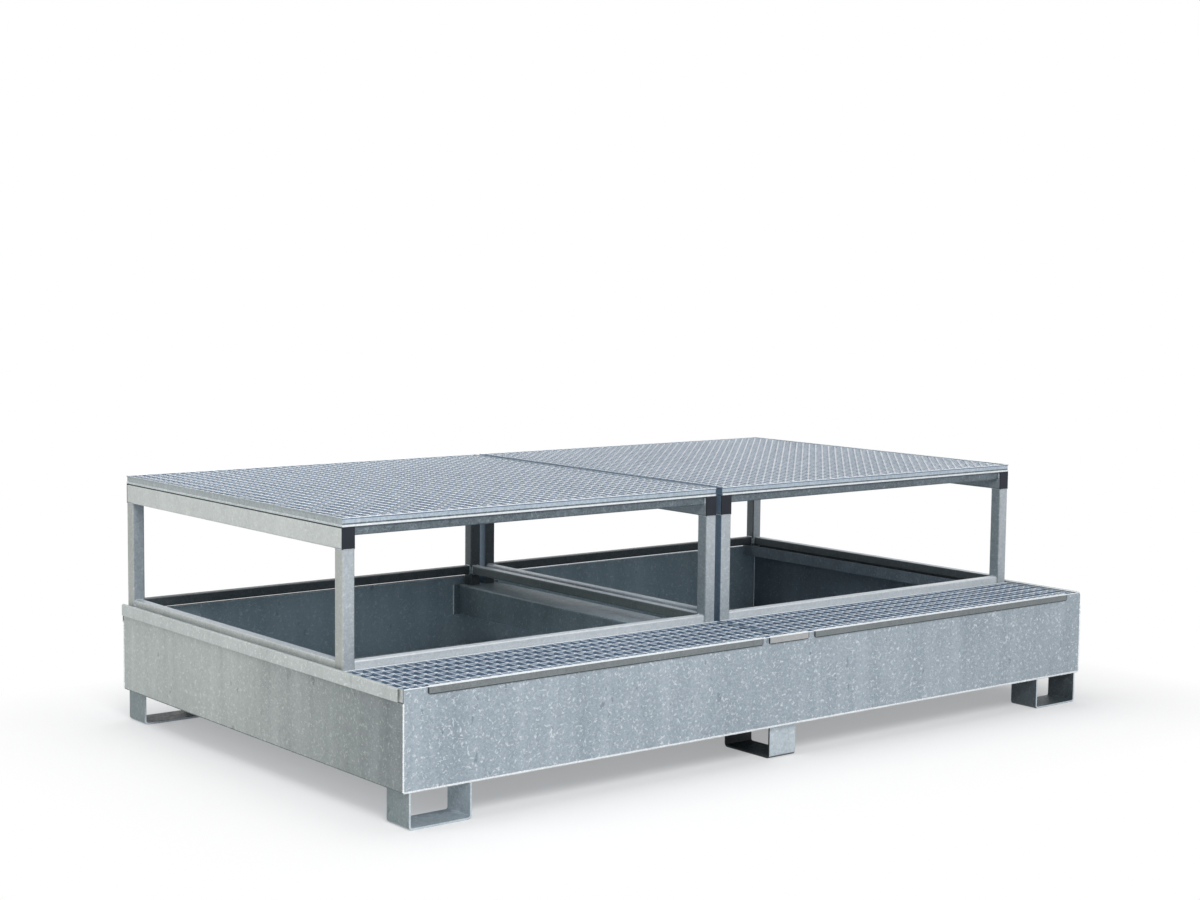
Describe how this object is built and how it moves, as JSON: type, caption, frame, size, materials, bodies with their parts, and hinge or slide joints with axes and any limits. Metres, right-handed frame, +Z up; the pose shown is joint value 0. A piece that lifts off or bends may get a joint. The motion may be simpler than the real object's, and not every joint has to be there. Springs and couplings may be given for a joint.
{
  "type": "spill containment pallet",
  "caption": "Galvanised steel sump tray on strap feet with raised dispensing stands inside it, grating decks on the stands and grating panels along the front.",
  "frame": {"origin": "on the floor under the feet, in the middle of the footprint", "axes": "+X to the right along the long side, +Y from the front to the back, +Z up"},
  "size_m": [2.716, 1.612, 0.7756],
  "materials": {
    "tray_zinc": "hot-dip galvanised, faint spangle, satin",
    "strip_zinc": "galvanised, dull",
    "foot_zinc": "galvanised, satin",
    "stand_zinc": "galvanised tube, satin",
    "grating_zinc": "galvanised, bright edges",
    "cap_plastic": "moulded, matte"
  },
  "bodies": {
    "tray": {"tray_floor": "tray_zinc", "tray_wall_front": "tray_zinc", "tray_wall_back": "tray_zinc", "tray_wall_left": "tray_zinc", "tray_wall_right": "tray_zinc", "front_strip_left": "strip_zinc", "front_strip_middle": "strip_zinc", "front_strip_right": "strip_zinc", "foot_front_left": "foot_zinc", "foot_front_middle": "foot_zinc", "foot_front_right": "foot_zinc", "foot_back_left": "foot_zinc", "foot_back_middle": "foot_zinc", "foot_back_right": "foot_zinc", "middle_beam": "tray_zinc", "beam_bracket_front": "tray_zinc", "beam_bracket_back": "tray_zinc", "ledge_left": "tray_zinc", "ledge_right": "tray_zinc", "front_ledge_left": "tray_zinc", "front_ledge_right": "tray_zinc", "front_bearer": "tray_zinc"},
    "stand_left": {"stand_left_leg_front_outer": "stand_zinc", "stand_left_leg_front_inner": "stand_zinc", "stand_left_leg_back_outer": "stand_zinc", "stand_left_leg_back_inner": "stand_zinc", "stand_left_side_rail_outer": "stand_zinc", "stand_left_side_rail_inner": "stand_zinc", "stand_left_top_rail_front": "stand_zinc", "stand_left_top_rail_back": "stand_zinc", "stand_left_deck_bearer": "stand_zinc", "stand_left_lower_rail_outer": "stand_zinc", "stand_left_lower_rail_inner": "stand_zinc", "stand_left_lower_rail_front": "stand_zinc", "stand_left_lower_rail_back": "stand_zinc", "stand_left_cap_front_outer": "cap_plastic", "stand_left_cap_front_inner": "cap_plastic", "stand_left_cap_back_outer": "cap_plastic", "stand_left_cap_back_inner": "cap_plastic"},
    "stand_right": {"stand_right_leg_front_outer": "stand_zinc", "stand_right_leg_front_inner": "stand_zinc", "stand_right_leg_back_outer": "stand_zinc", "stand_right_leg_back_inner": "stand_zinc", "stand_right_side_rail_outer": "stand_zinc", "stand_right_side_rail_inner": "stand_zinc", "stand_right_top_rail_front": "stand_zinc", "stand_right_top_rail_back": "stand_zinc", "stand_right_deck_bearer": "stand_zinc", "stand_right_lower_rail_outer": "stand_zinc", "stand_right_lower_rail_inner": "stand_zinc", "stand_right_lower_rail_front": "stand_zinc", "stand_right_lower_rail_back": "stand_zinc", "stand_right_cap_front_outer": "cap_plastic", "stand_right_cap_front_inner": "cap_plastic", "stand_right_cap_back_outer": "cap_plastic", "stand_right_cap_back_inner": "cap_plastic"},
    "deck_left": {"deck_grating_left": "grating_zinc"},
    "deck_right": {"deck_grating_right": "grating_zinc"},
    "front_panel_left": {"front_grating_left": "grating_zinc"},
    "front_panel_right": {"front_grating_right": "grating_zinc"}
  },
  "joints": [
    {"name": "stand_left_lift", "type": "slide", "parent": "tray", "child": "stand_left", "axis": [0, 0, 1], "range_m": [0, 0.25]},
    {"name": "stand_right_lift", "type": "slide", "parent": "tray", "child": "stand_right", "axis": [0, 0, 1], "range_m": [0, 0.25]},
    {"name": "deck_left_lift", "type": "slide", "parent": "stand_left", "child": "deck_left", "axis": [0, 0, 1], "range_m": [0, 0.2]},
    {"name": "deck_right_lift", "type": "slide", "parent": "stand_right", "child": "deck_right", "axis": [0, 0, 1], "range_m": [0, 0.2]},
    {"name": "front_left_lift", "type": "slide", "parent": "tray", "child": "front_panel_left", "axis": [0, 0, 1], "range_m": [0, 0.2]},
    {"name": "front_right_lift", "type": "slide", "parent": "tray", "child": "front_panel_right", "axis": [0, 0, 1], "range_m": [0, 0.2]}
  ]
}
